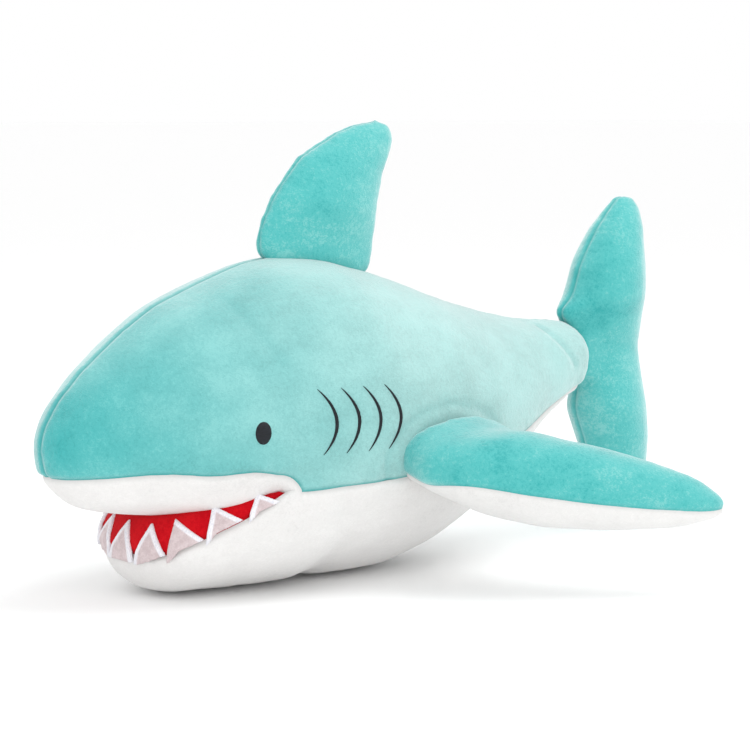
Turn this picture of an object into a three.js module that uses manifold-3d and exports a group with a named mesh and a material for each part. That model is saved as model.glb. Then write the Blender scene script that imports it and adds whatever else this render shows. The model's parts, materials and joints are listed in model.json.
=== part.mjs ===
// A plush shark, half a metre long, sewn from short-pile fabric panels over loose stuffing.
// Millimetres. +Z is up, the nose points along -Y and the shark's left side is +X.
// The origin is on the ground, under the middle of the shark's outline.

import * as THREE from 'three';
import { LoftGeometry } from 'three/addons/geometries/LoftGeometry.js';
import { mergeVertices } from 'three/addons/utils/BufferGeometryUtils.js';
import Module from 'manifold-3d';

// Driving dimensions

const FABRIC = 2;              // thickness of a fabric panel
const GAP = 0.3;               // clearance between neighbouring pieces
const PATCH = 1.4;             // height of an embroidered patch above the fabric
const EYE_HEIGHT = 1.8;        // height of an eye above the fabric
const MOUTH_GAP = 0.8;         // clearance between the jaw and the snout above it
const JAW_HINGE_Y = -117;      // corners of the mouth, where the jaw folds
const JAW_HINGE_Z = 60;
const FLOOR_OF_MOUTH = 43;     // the lining reaches down to here inside the mouth
const JAW_OPENING = 13;        // degrees that the throat leaves free behind the jaw
const AROUND = 32;             // points around a body section
const AROUND_FIN = 16;         // points around a fin section
const SMOOTHING = 1;           // sections for each stretch between two stations
const SEAM_STEPS = 4;          // points for each stretch of a seam line
const RIM_STEPS = 2;           // points for each stretch of the mouth's outline
const PAST_THROAT = 5;         // how far the hollow of a shell runs past the throat
const REACH = 400;             // size of a cutter that passes right through the shark

// Colours

const AQUA = 0x62c3c2;
const WHITE = 0xf0f0ee;
const RED = 0xbc0510;
const BLACK = 0x10151a;
const TOOTH = 0xe3d6d8;
const FILLING = 0xf6f4ee;

// Head and trunk, from the nose to the end of the tail stock:
// distance along the shark, height of the back, of the widest place and of the
// underside, and half the width there.

const TRUNK = [
  [ - 248, 100, 95, 90, 5 ],
  [ - 245, 110, 94, 78, 16 ],
  [ - 236, 124, 92, 68, 28 ],
  [ - 219, 141, 90, 60, 42 ],
  [ - 194, 160, 88, 56, 57 ],
  [ - 165, 178, 88, 53, 71 ],
  [ - 138, 189, 88, 51, 78 ],
  [ - 115, 197, 88, 50, 83 ],
  [ - 100, 201, 88, 34, 85 ],
  [ - 85, 203, 88, 8, 87 ],
  [ - 68, 203, 88, - 3, 88 ],
  [ - 44, 201, 88, - 4, 88 ],
  [ - 15, 193, 88, - 3, 86 ],
  [ 20, 182, 88, 5, 80 ],
  [ 55, 171, 92, 20, 69 ],
  [ 90, 160, 100, 42, 56 ],
  [ 125, 153, 111, 70, 42 ],
  [ 155, 151, 121, 90, 33 ],
  [ 172, 148, 124, 98, 28 ],
  [ 180, 140, 124, 107, 19 ],
  [ 183, 130, 124, 118, 6 ],
];

// Lower jaw and throat: the same five values. The widest place is the rim of the jaw.

const UNDERJAW = [
  [ - 192, 30, 26, 20, 8 ],
  [ - 189, 39, 27, 11, 26 ],
  [ - 182, 52, 31, 4, 42 ],
  [ - 168, 67, 40, - 1, 56 ],
  [ - 150, 79, 50, - 2, 67 ],
  [ - 130, 84, 60, - 3, 77 ],
  [ - 110, 87, 66, - 3, 83 ],
  [ - 90, 82, 65, - 3, 84 ],
  [ - 72, 64, 53, 4, 78 ],
  [ - 58, 50, 42, 16, 58 ],
];

// Seam between the aqua back and the white underside: distance along, height.

const SIDE_SEAM = [
  [ - 300, 74 ],
  [ - 240, 77 ],
  [ - 190, 81 ],
  [ - 150, 74 ],
  [ - 117, 67 ],
  [ - 33, 69 ],
  [ 60, 76 ],
  [ 135, 96 ],
  [ 230, 122 ],
];

// Fins: place along the span, leading edge, trailing edge and half the thickness.
// Each fin starts just below its hinge line, at span 0, with a rounded root.

const DORSAL_FIN = [
  [ - 8, - 30, 32, 3 ],
  [ - 6, - 40, 41, 9 ],
  [ 0, - 45, 47, 13 ],
  [ 22, - 38, 45, 18 ],
  [ 50, - 21, 46, 16 ],
  [ 70, 4, 51, 12 ],
  [ 79, 20, 51, 8 ],
  [ 84, 32, 45, 3 ],
];

const TAIL_FIN = [
  [ - 113, 221, 236, 4 ],
  [ - 107, 211, 244, 10 ],
  [ - 88, 198, 248, 20 ],
  [ - 65, 189, 247, 26 ],
  [ - 42, 180, 244, 28 ],
  [ - 18, 185, 241, 20 ],
  [ 0, 185, 240, 15 ],
  [ 18, 185, 241, 20 ],
  [ 38, 176, 242, 28 ],
  [ 62, 184, 242, 26 ],
  [ 86, 199, 242, 20 ],
  [ 102, 213, 239, 11 ],
  [ 109, 220, 231, 4 ],
];

const PECTORAL_FIN = [
  [ - 14, - 26, 26, 5 ],
  [ - 10, - 37, 37, 16 ],
  [ 0, - 44, 46, 24 ],
  [ 22, - 32, 56, 29 ],
  [ 50, - 6, 75, 29 ],
  [ 78, 28, 96, 24 ],
  [ 98, 58, 111, 18 ],
  [ 110, 82, 114, 10 ],
  [ 115, 97, 109, 4 ],
];

const DORSAL_ROOT = [ 0, - 45, 212 ];        // middle of the dorsal fin's hinge line
const DORSAL_TILT = 9.7;                     // degrees that the hinge line falls to the rear
const TAIL_FIN_MIDDLE = 127;                 // height of the tail fin's waist
const PECTORAL_ROOT = [ 104, 0, 77 ];        // middle of the left fin's hinge line
const PECTORAL_DROOP = 15;                   // degrees that the fin hangs below level
const PECTORAL_PITCH = 2;                    // degrees that its rear edge is raised

// Face

const EYE = { y: - 139, z: 104, width: 10.8, height: 14.8, tilt: 12 };
const GILLS = { firstY: - 101, pitch: 16, count: 4, z: 108, height: 39, bulge: 10, width: 3.4 };
const TEETH_PER_SIDE = 4;
const TOOTH_PITCH = 26.5;                     // along the rim of the jaw
const TOOTH_SIZES = [ [ 26, 20 ], [ 26, 20 ], [ 26, 18 ], [ 25, 15 ], [ 22, 10 ] ];
const TOOTH_FOOT = 1.5;                      // height of a tooth's foot above the rim
const LIP = 7;                               // white edge of the jaw around the mouth lining
const UPPER_LIP = 20;                        // white edge of the snout around the roof's lining
const RIM_AHEAD = 6;                         // the seam of the rim runs past the chin by this
const RIM_END = - 110;                       // the rim ends here, at the corners of the mouth
const TOOTH_CUTTER = 60;                     // depth of the prism that cuts a tooth's outline
const TOOTH_CUTTER_INSIDE = 40;              // how much of it lies inside the jaw
const EYE_POINTS = 20;
const GILL_STEPS = 8;

const wasm = await Module();
wasm.setup();

// Solids

function solidOf( geometry ) {

  const bare = new THREE.BufferGeometry();
  bare.setAttribute( 'position', geometry.attributes.position );
  bare.setIndex( geometry.index );
  const merged = mergeVertices( bare, 1e-4 );
  return new wasm.Manifold( new wasm.Mesh( {
    numProp: 3,
    vertProperties: new Float32Array( merged.attributes.position.array ),
    triVerts: new Uint32Array( merged.index.array ),
  } ) );

}

function geometryOf( solid ) {

  const { vertProperties, triVerts } = solid.getMesh();
  const geometry = new THREE.BufferGeometry();
  geometry.setAttribute( 'position', new THREE.BufferAttribute( vertProperties, 3 ) );
  geometry.setIndex( new THREE.BufferAttribute( triVerts, 1 ) );
  const faceted = geometry.toNonIndexed();
  faceted.computeVertexNormals();
  return faceted;

}

function prism( outline, depth ) {

  const shape = new THREE.Shape( outline.map( ( [ a, b ] ) => new THREE.Vector2( a, b ) ) );
  return new THREE.ExtrudeGeometry( shape, { depth, bevelEnabled: false } );

}

// A prism along X, through the whole shark, whose outline is given as (y, z).

function sidePrism( outline, from = - REACH, to = REACH ) {

  const geometry = prism( outline, to - from );
  geometry.applyMatrix4( new THREE.Matrix4().makeBasis(
    new THREE.Vector3( 0, 1, 0 ),
    new THREE.Vector3( 0, 0, 1 ),
    new THREE.Vector3( 1, 0, 0 ),
  ) );
  geometry.translate( from, 0, 0 );
  return solidOf( geometry );

}

function block( low, high ) {

  const size = high.map( ( value, i ) => value - low[ i ] );
  const geometry = new THREE.BoxGeometry( ...size );
  geometry.translate( ...high.map( ( value, i ) => ( value + low[ i ] ) / 2 ) );
  return solidOf( geometry );

}

// Smooth stations between the given ones, a few for each stretch.

function smoothStations( stations, perStretch ) {

  const columns = stations[ 0 ].slice( 1 ).map( ( _, column ) => new THREE.SplineCurve(
    stations.map( ( row ) => new THREE.Vector2( row[ 0 ], row[ column + 1 ] ) ),
  ) );
  const count = ( stations.length - 1 ) * perStretch;
  return Array.from( { length: count + 1 }, ( _, i ) => {

    const points = columns.map( ( curve ) => curve.getPoint( i / count ) );
    return [ points[ 0 ].x, ...points.map( ( point ) => point.y ) ];

  } );

}

// Places along a loft are drawn in towards its middle by the inset, like its sides.

function insetPlace( stations, place, inset ) {

  const first = stations[ 0 ][ 0 ];
  const last = stations[ stations.length - 1 ][ 0 ];
  const middle = ( first + last ) / 2;
  return middle + ( place - middle ) * ( 1 - 2 * inset / ( last - first ) );

}

function loftBody( stations, inset ) {

  const sections = smoothStations( stations, SMOOTHING ).map( ( [ place, top, middle, bottom, half ] ) => {

    const y = insetPlace( stations, place, inset );
    return Array.from( { length: AROUND }, ( _, i ) => {

      const angle = i / AROUND * Math.PI * 2;
      const rise = Math.sin( angle );
      const reach = rise > 0 ? top - inset - middle : middle - bottom - inset;
      return new THREE.Vector3( - ( half - inset ) * Math.cos( angle ), y, middle + reach * rise );

    } );

  } );
  return solidOf( new LoftGeometry( sections, { capStart: true, capEnd: true } ) );

}

// placed( span, chord, thickness ) turns a fin's own directions into a point.

function loftFin( stations, inset, placed ) {

  const sections = smoothStations( stations, SMOOTHING ).map( ( [ place, leading, trailing, half ] ) => {

    const span = insetPlace( stations, place, inset );
    const middle = ( leading + trailing ) / 2;
    const reach = ( trailing - leading ) / 2 - inset;
    return Array.from( { length: AROUND_FIN }, ( _, i ) => {

      const angle = i / AROUND_FIN * Math.PI * 2;
      return placed( span, middle + reach * Math.cos( angle ), ( half - inset ) * Math.sin( angle ) );

    } );

  } );
  return solidOf( new LoftGeometry( sections, { capStart: true, capEnd: true } ) );

}

// Shapes shared by several pieces, each drawn in by an inset from the fabric's outer face

const trunk = ( inset ) => loftBody( TRUNK, inset );
const underjaw = ( inset ) => loftBody( UNDERJAW, inset );
const aboveGround = ( inset ) => block( [ - REACH, - REACH, inset ], [ REACH, REACH, REACH ] );

// The throat leaves a wedge free behind the jaw. Both cuts can be moved past the throat,
// so that what is hollowed out of a shell is open there.

function behindThroat( past ) {

  const slope = Math.tan( THREE.MathUtils.degToRad( JAW_OPENING + 1 ) );
  const y = JAW_HINGE_Y + GAP - past;
  const outline = [ [ y + slope * JAW_HINGE_Z, 0 ], [ REACH, 0 ], [ REACH, REACH ], [ y, REACH ], [ y, JAW_HINGE_Z ] ];
  return sidePrism( outline );

}

function aheadOfThroat( past ) {

  return block( [ - REACH, - REACH, - REACH ], [ REACH, JAW_HINGE_Y + past, REACH ] );

}

function torsoSolid( inset, past = 0 ) {

  const throat = underjaw( inset ).intersect( behindThroat( past ) );
  return trunk( inset ).add( throat ).intersect( aboveGround( inset ) );

}

function jawSolid( inset, past = 0 ) {

  return underjaw( inset )
    .intersect( aheadOfThroat( past ) )
    .intersect( aboveGround( inset ) )
    .subtract( trunk( - MOUTH_GAP - inset ) );

}

function seamCutter( seam, offset, above ) {

  const line = smoothStations( seam, SEAM_STEPS ).map( ( [ y, z ] ) => [ y, z + offset ] );
  const far = above ? REACH : - REACH;
  return sidePrism( [ ...line, [ line[ line.length - 1 ][ 0 ], far ], [ line[ 0 ][ 0 ], far ] ] );

}

// Meshes

function material( color, roughness = 0.95 ) {

  return new THREE.MeshStandardMaterial( { color, roughness, metalness: 0 } );

}

function addPiece( parent, name, solid, color, roughness ) {

  const mesh = new THREE.Mesh( geometryOf( solid ), material( color, roughness ) );
  mesh.name = name;
  parent.add( mesh );

}

// Torso: two back panels, the snout's underside, the belly, the lining of the roof of
// the mouth, and the stuffing.

function addTorso( group ) {

  const shell = torsoSolid( 0 ).subtract( torsoSolid( FABRIC, PAST_THROAT ) );
  const back = shell.intersect( seamCutter( SIDE_SEAM, GAP / 2, true ) );
  const underside = shell.intersect( seamCutter( SIDE_SEAM, - GAP / 2, false ) );
  const left = block( [ GAP / 2, - REACH, - REACH ], [ REACH, REACH, REACH ] );
  const right = block( [ - REACH, - REACH, - REACH ], [ - GAP / 2, REACH, REACH ] );
  addPiece( group, 'back_panel_left', back.intersect( left ), AQUA );
  addPiece( group, 'back_panel_right', back.intersect( right ), AQUA );

  const snout = underside.intersect( block( [ - REACH, - REACH, 0 ], [ REACH, JAW_HINGE_Y - GAP, REACH ] ) );
  addPiece( group, 'snout_underside_panel', snout.subtract( mouthPrism( UPPER_LIP ) ), WHITE );
  addPiece( group, 'mouth_roof_lining', snout.intersect( mouthPrism( UPPER_LIP + GAP ) ), RED );
  const belly = underside.intersect( block( [ - REACH, JAW_HINGE_Y, 0 ], [ REACH, REACH, REACH ] ) );
  addPiece( group, 'belly_panel', belly, WHITE );
  addPiece( group, 'torso_stuffing', torsoSolid( FABRIC + GAP ), FILLING );

}

// The mouth seen from below: the rim of the jaw, drawn in by an inset.

function mouthPrism( inset ) {

  const side = smoothStations( UNDERJAW, RIM_STEPS )
    .map( ( [ y, , , , half ] ) => [ half - inset, insetPlace( UNDERJAW, y, inset ) ] )
    .filter( ( [ x ] ) => x > 0 );
  const otherSide = side.map( ( [ x, y ] ) => [ - x, y ] ).reverse();
  const geometry = prism( [ ...side, ...otherSide ], REACH );
  return solidOf( geometry );

}

// Jaw: a white cover below the rim, red lining above it, and stuffing.

function addJaw( group ) {

  const rim = UNDERJAW.map( ( [ y, , middle ] ) => [ y, middle ] );
  rim.unshift( [ rim[ 0 ][ 0 ] - RIM_AHEAD, rim[ 0 ][ 1 ] ] );
  const shell = jawSolid( 0 ).subtract( jawSolid( FABRIC, PAST_THROAT ) );
  const top = block( [ - REACH, - REACH, FLOOR_OF_MOUTH ], [ REACH, REACH, REACH ] );
  const inside = ( inset ) => mouthPrism( inset ).intersect( top );
  const cover = shell.intersect( seamCutter( rim, - GAP / 2, false ) ).subtract( inside( LIP ) );
  const lining = shell.intersect( seamCutter( rim, GAP / 2, true ).add( inside( LIP + 2 * GAP ) ) );
  addPiece( group, 'jaw_cover', cover, WHITE );
  addPiece( group, 'mouth_floor_lining', lining, RED );
  addPiece( group, 'jaw_stuffing', jawSolid( FABRIC + GAP ), FILLING );

}

// The rim of the jaw on the left side, from the chin to the corner of the mouth.

function rimCurve() {

  const points = UNDERJAW
    .filter( ( [ y ] ) => y <= RIM_END )
    .map( ( [ y, , middle, , half ] ) => new THREE.Vector3( half, y, middle ) );
  points[ 0 ] = new THREE.Vector3( 0, UNDERJAW[ 0 ][ 0 ], UNDERJAW[ 0 ][ 2 ] );
  return new THREE.CatmullRomCurve3( points );

}

// Teeth: felt triangles sewn flat on the red lining, just above the rim.

function toothSolid( index, side ) {

  const curve = rimCurve();
  const along = index * TOOTH_PITCH / curve.getLength();
  const foot = curve.getPointAt( along );
  const tangent = index === 0 ? new THREE.Vector3( 1, 0, 0 ) : curve.getTangentAt( along );
  foot.x *= side;
  tangent.y *= side;
  tangent.z *= side;
  const outward = new THREE.Vector3( tangent.y, - tangent.x, 0 ).normalize();
  const up = new THREE.Vector3().crossVectors( outward, tangent ).normalize();
  const [ width, height ] = TOOTH_SIZES[ index ];
  const geometry = prism( [ [ - width / 2, 0 ], [ width / 2, 0 ], [ 0, height ] ], TOOTH_CUTTER );
  geometry.translate( 0, TOOTH_FOOT, - TOOTH_CUTTER_INSIDE );
  geometry.applyMatrix4( new THREE.Matrix4().makeBasis( tangent, up, outward ).setPosition( foot ) );
  const layer = underjaw( - GAP - PATCH ).subtract( underjaw( - GAP ) );
  return solidOf( geometry ).intersect( layer ).subtract( trunk( - MOUTH_GAP - GAP ) );

}

function addTeeth( group ) {

  addPiece( group, 'tooth_centre', toothSolid( 0, 1 ), TOOTH );
  for ( let index = 1; index <= TEETH_PER_SIDE; index ++ ) {

    addPiece( group, `tooth_left_${ index }`, toothSolid( index, 1 ), TOOTH );
    addPiece( group, `tooth_right_${ index }`, toothSolid( index, - 1 ), TOOTH );

  }

}

// Eyes and gills: satin-stitched patches that follow the surface of the head.

function facePatch( outline, height, side ) {

  const cutter = side > 0 ? sidePrism( outline, 0, REACH ) : sidePrism( outline, - REACH, 0 );
  return trunk( - GAP - height ).subtract( trunk( - GAP ) ).intersect( cutter );

}

function eyeOutline() {

  const tilt = THREE.MathUtils.degToRad( EYE.tilt );
  const curve = new THREE.EllipseCurve(
    EYE.y, EYE.z, EYE.width / 2, EYE.height / 2, 0, Math.PI * 2, false, - tilt );
  return curve.getPoints( EYE_POINTS ).slice( 1 ).map( ( point ) => [ point.x, point.y ] );

}

// An arc that bulges to the rear, widest in the middle and pointed at both ends.

function gillOutline( index ) {

  const y = GILLS.firstY + index * GILLS.pitch;
  const edge = ( side ) => Array.from( { length: GILL_STEPS + 1 }, ( _, i ) => {

    const part = i / GILL_STEPS * 2 - 1;
    const across = GILLS.bulge * ( 1 - part * part ) + side * GILLS.width / 2 * Math.sqrt( 1 - part * part );
    return [ y + across, GILLS.z + part * GILLS.height / 2 ];

  } );
  return [ ...edge( 1 ), ...edge( - 1 ).slice( 1, - 1 ).reverse() ];

}

function addFace( group ) {

  for ( const [ name, side ] of [ [ 'left', 1 ], [ 'right', - 1 ] ] ) {

    addPiece( group, `${ name }_eye`, facePatch( eyeOutline(), EYE_HEIGHT, side ), BLACK, 0.35 );
    for ( let index = 0; index < GILLS.count; index ++ ) {

      const gill = facePatch( gillOutline( index ), PATCH, side );
      addPiece( group, `${ name }_gill_${ index + 1 }`, gill, BLACK, 0.6 );

    }

  }

}

// Fins: two panels joined around the edge, and stuffing between them.

function addFin( group, stations, placed, thin, names, colors ) {

  const shell = loftFin( stations, 0, placed ).subtract( loftFin( stations, FABRIC, placed ) );
  names.slice( 0, 2 ).forEach( ( name, i ) => {

    const low = thin.map( ( across ) => ( across && i === 0 ? GAP / 2 : - REACH ) );
    const high = thin.map( ( across ) => ( across && i === 1 ? - GAP / 2 : REACH ) );
    addPiece( group, name, shell.intersect( block( low, high ) ), colors[ i ] );

  } );
  addPiece( group, names[ 2 ], loftFin( stations, FABRIC + GAP, placed ), FILLING );

}

function dorsalFin() {

  const group = new THREE.Group();
  group.position.set( ...DORSAL_ROOT );
  group.rotation.x = - THREE.MathUtils.degToRad( DORSAL_TILT );
  const placed = ( span, chord, thickness ) => new THREE.Vector3( - thickness, chord, span );
  const names = [ 'dorsal_left_panel', 'dorsal_right_panel', 'dorsal_stuffing' ];
  addFin( group, DORSAL_FIN, placed, [ 1, 0, 0 ], names, [ AQUA, AQUA ] );
  return group;

}

function tailFin() {

  const group = new THREE.Group();
  group.position.z = TAIL_FIN_MIDDLE;
  const placed = ( span, chord, thickness ) => new THREE.Vector3( - thickness, chord, span );
  const names = [ 'tail_left_panel', 'tail_right_panel', 'tail_stuffing' ];
  addFin( group, TAIL_FIN, placed, [ 1, 0, 0 ], names, [ AQUA, AQUA ] );
  return group;

}

function pectoralFin( name, side ) {

  const group = new THREE.Group();
  const [ x, y, z ] = PECTORAL_ROOT;
  group.position.set( side * x, y, z );
  group.rotation.order = 'YXZ';
  group.rotation.y = side * THREE.MathUtils.degToRad( PECTORAL_DROOP );
  group.rotation.x = THREE.MathUtils.degToRad( PECTORAL_PITCH );
  const placed = ( span, chord, thickness ) => new THREE.Vector3( side * span, chord, side * thickness );
  const names = [ `${ name }_upper_panel`, `${ name }_lower_panel`, `${ name }_stuffing` ];
  addFin( group, PECTORAL_FIN, placed, [ 0, 0, 1 ], names, [ AQUA, WHITE ] );
  return group;

}

const group = new THREE.Group();
addTorso( group );
addJaw( group );
addTeeth( group );
addFace( group );
group.add( dorsalFin() );
group.add( tailFin() );
group.add( pectoralFin( 'left_pectoral', 1 ) );
group.add( pectoralFin( 'right_pectoral', - 1 ) );

export default group;
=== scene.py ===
"""A stuffed plush shark: fabric skins, sewn seams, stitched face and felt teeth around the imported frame.

Lengths are in metres. The nose points along -Y, the shark's left side is +X, and +Z is up.
"""

import json
import math

import bmesh
import bpy
import numpy as np
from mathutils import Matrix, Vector, geometry, noise
from mathutils.bvhtree import BVHTree
from mathutils.kdtree import KDTree


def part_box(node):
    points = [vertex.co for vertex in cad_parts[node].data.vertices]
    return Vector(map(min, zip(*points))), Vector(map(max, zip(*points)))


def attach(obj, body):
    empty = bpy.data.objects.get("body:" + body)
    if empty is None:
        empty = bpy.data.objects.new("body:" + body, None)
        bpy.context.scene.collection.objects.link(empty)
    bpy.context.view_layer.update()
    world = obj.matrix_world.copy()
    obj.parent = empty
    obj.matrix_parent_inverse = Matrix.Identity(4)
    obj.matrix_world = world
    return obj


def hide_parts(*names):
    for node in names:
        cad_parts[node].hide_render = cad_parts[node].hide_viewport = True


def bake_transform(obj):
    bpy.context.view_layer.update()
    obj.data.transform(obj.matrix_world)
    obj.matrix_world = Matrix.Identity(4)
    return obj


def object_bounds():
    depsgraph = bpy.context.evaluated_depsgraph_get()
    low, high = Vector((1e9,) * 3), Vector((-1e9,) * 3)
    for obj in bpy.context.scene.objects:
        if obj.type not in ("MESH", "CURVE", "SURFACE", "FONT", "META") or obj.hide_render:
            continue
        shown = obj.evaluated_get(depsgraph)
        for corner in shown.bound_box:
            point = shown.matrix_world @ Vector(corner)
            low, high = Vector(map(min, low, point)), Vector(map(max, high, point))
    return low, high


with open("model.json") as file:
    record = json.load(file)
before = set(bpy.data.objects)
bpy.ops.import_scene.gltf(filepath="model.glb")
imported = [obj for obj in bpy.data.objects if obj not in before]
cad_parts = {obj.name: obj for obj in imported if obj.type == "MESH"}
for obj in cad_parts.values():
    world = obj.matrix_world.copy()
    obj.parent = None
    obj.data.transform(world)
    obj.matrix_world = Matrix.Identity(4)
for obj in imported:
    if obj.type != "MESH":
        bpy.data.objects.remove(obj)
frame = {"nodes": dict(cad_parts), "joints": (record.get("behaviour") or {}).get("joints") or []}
cad_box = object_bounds()
nodes = frame["nodes"]
joints = {joint["name"]: joint for joint in frame["joints"]}

MM = 0.001
BODY_VOXEL = 4.5 * MM
JAW_VOXEL = 3 * MM
FIN_VOXEL = 4 * MM
TOOTH_VOXEL = 0.7 * MM
FABRIC = 2.3 * MM  # from the filling to the fabric's outer face
SEAM_TURN = 2.5 * MM  # how far a panel's edge turns inwards at a seam
SEAM_DEPTH = 1.5 * MM
SEAM_WIDTH = 2.4 * MM
SEAM_PUCKER = 0.5 * MM
WIDEST_STITCH = 3 * MM  # a groove wider than this is a crease and has no stitches
SPIKE = 0.3  # a point further than this share of an edge from the middle of its neighbours is a spike
SLACK = 1.2 * MM  # how much smaller a skin starts before it is blown up
SLACK_WIDTH = 12 * MM  # over this distance from a seam the slack grows to its full amount
CLOTH_FRAMES = 20
CLOTH_PRESSURE = 4.0
BODY_SWELL = 3.5 * MM  # how far the air moves the body's fabric at most
FIN_SWELL = 3 * MM

# Mesh helpers


def coords(obj):
    flat = np.empty(len(obj.data.vertices) * 3, np.float32)
    obj.data.vertices.foreach_get("co", flat)
    return flat.reshape(-1, 3).astype(float)


def set_coords(obj, places):
    obj.data.vertices.foreach_set("co", places.astype(np.float32).ravel())
    obj.data.update()


def vertex_normals(obj):
    flat = np.empty(len(obj.data.vertices) * 3, np.float32)
    obj.data.vertex_normals.foreach_get("vector", flat)
    return flat.reshape(-1, 3).astype(float)


def edge_ends(obj):
    flat = np.empty(len(obj.data.edges) * 2, np.int32)
    obj.data.edges.foreach_get("vertices", flat)
    return flat.reshape(-1, 2)


def face_values(obj, name):
    flat = np.empty(len(obj.data.polygons) * 3, np.float32)
    obj.data.polygons.foreach_get(name, flat)
    return flat.reshape(-1, 3).astype(float)


def node_points(*names):
    return np.array([v.co for name in names for v in nodes[name].data.vertices], float)


def new_object(name, mesh):
    obj = bpy.data.objects.new(name, mesh)
    bpy.context.scene.collection.objects.link(obj)
    return obj


def object_from(name, bm):
    mesh = bpy.data.meshes.new(name)
    bm.to_mesh(mesh)
    bm.free()
    return new_object(name, mesh)


def apply_modifiers(obj):
    graph = bpy.context.evaluated_depsgraph_get()
    graph.update()
    mesh = bpy.data.meshes.new_from_object(obj.evaluated_get(graph))
    obj.modifiers.clear()
    old = obj.data
    obj.data = mesh
    bpy.data.meshes.remove(old)


def subdivide(obj, levels):
    modifier = obj.modifiers.new("subdivision", "SUBSURF")
    modifier.levels = levels
    apply_modifiers(obj)


def neighbour_sum(values, first, second):
    """For each vertex, the sum of the values at the other ends of its edges."""
    return np.bincount(first, values[second], len(values)) + np.bincount(second, values[first], len(values))


def smooth(obj, rounds):
    """Evens out facets and voxel steps and keeps the size: each pull is followed by a slightly larger push.
    Points that still stick out are then laid between their neighbours."""
    places = coords(obj)
    first, second = edge_ends(obj).T
    degree = neighbour_sum(np.ones(len(places)), first, second)
    for step in (0.5, -0.53) * rounds:
        for axis in range(3):
            value = places[:, axis]
            places[:, axis] = value + step * (neighbour_sum(value, first, second) / degree - value)
    for _ in range(12):
        around = np.stack([neighbour_sum(places[:, axis], first, second) for axis in range(3)], 1)
        around /= degree[:, None]
        size = np.linalg.norm(places[first] - places[second], axis=1).mean()
        spike = np.linalg.norm(around - places, axis=1) > SPIKE * size
        places[spike] = around[spike]
    set_coords(obj, places)


def joined(names):
    bm = bmesh.new()
    for name in names:
        bm.from_mesh(nodes[name].data)
    bmesh.ops.remove_doubles(bm, verts=bm.verts, dist=1e-6)
    return bm


def add_hull(bm, points):
    """Adds the convex hull of the points to the mesh as one more closed solid."""
    hull = bmesh.new()
    made = bmesh.ops.convex_hull(hull, input=[hull.verts.new(p) for p in points])
    loose = {v for v in made["geom_interior"] + made["geom_unused"] if isinstance(v, bmesh.types.BMVert)}
    bmesh.ops.delete(hull, geom=list(loose), context="VERTS")
    mesh = bpy.data.meshes.new("hull")
    hull.to_mesh(mesh)
    hull.free()
    bm.from_mesh(mesh)
    bpy.data.meshes.remove(mesh)


def remeshed(name, bm, voxel, smoothing):
    obj = object_from(name, bm)
    modifier = obj.modifiers.new("remesh", "REMESH")
    modifier.mode = "VOXEL"
    modifier.voxel_size = voxel
    apply_modifiers(obj)
    smooth(obj, smoothing)
    return obj


def swell(obj, amount):
    set_coords(obj, coords(obj) + vertex_normals(obj) * amount)


def skin_over(name, bm, voxel):
    """Fabric laid over a filling: the filling's shape, grown by the fabric's thickness."""
    obj = remeshed(name, bm, 0.65 * voxel, 3)
    swell(obj, FABRIC)
    grown = bmesh.new()
    grown.from_mesh(obj.data)
    bpy.data.objects.remove(obj)
    return remeshed(name, grown, voxel, 10)


def crossings(obj, field, where=None):
    """The points where the mesh's edges cross field = 0."""
    places = coords(obj)
    value = field(places)
    first, second = edge_ends(obj).T
    cross = value[first] * value[second] < 0
    if where is not None:
        allowed = where(places)
        cross &= allowed[first] & allowed[second]
    first, second = first[cross], second[cross]
    share = (value[first] / (value[first] - value[second]))[:, None]
    return places[first] * (1 - share) + places[second] * share


def nearest(points, places, reach):
    """For each place, its distance to the points, at most reach, and the nearest point."""
    tree = KDTree(len(points))
    for i, point in enumerate(points):
        tree.insert(point, i)
    tree.balance()
    low, high = points.min(0) - reach, points.max(0) + reach
    distance = np.full(len(places), reach)
    closest = places.copy()
    for i in np.nonzero(((places > low) & (places < high)).all(1))[0]:
        point, _, gap = tree.find(places[i])
        if gap < reach:
            distance[i] = gap
            closest[i] = point
    return distance, closest


def inflate(obj, held_points, cap, hold=3 * MM):
    """Blows the skin up as cloth with air in it. It is held along the seams and moves at most about cap."""
    start = coords(obj)
    distance, _ = nearest(held_points, start, 40 * MM)
    slack = SLACK * np.clip(distance / SLACK_WIDTH, 0, 1)
    start -= vertex_normals(obj) * slack[:, None]
    set_coords(obj, start)
    group = obj.vertex_groups.new(name="held")
    for i in np.nonzero(distance < hold)[0]:
        group.add([int(i)], 1.0, "REPLACE")
    modifier = obj.modifiers.new("cloth", "CLOTH")
    settings = modifier.settings
    settings.quality = 4
    settings.mass = 0.2
    settings.use_pressure = True
    settings.uniform_pressure_force = CLOTH_PRESSURE
    settings.effector_weights.gravity = 0
    settings.vertex_group_mass = "held"
    modifier.collision_settings.use_collision = False
    modifier.point_cache.frame_start = 1
    modifier.point_cache.frame_end = CLOTH_FRAMES
    scene = bpy.context.scene
    for number in range(1, CLOTH_FRAMES + 1):
        scene.frame_set(number)
    apply_modifiers(obj)
    moved = coords(obj) - start
    length = np.linalg.norm(moved, axis=1, keepdims=True) + 1e-9
    set_coords(obj, start + moved / length * cap * np.tanh(length / cap))
    obj.vertex_groups.clear()
    scene.frame_set(1)


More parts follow.
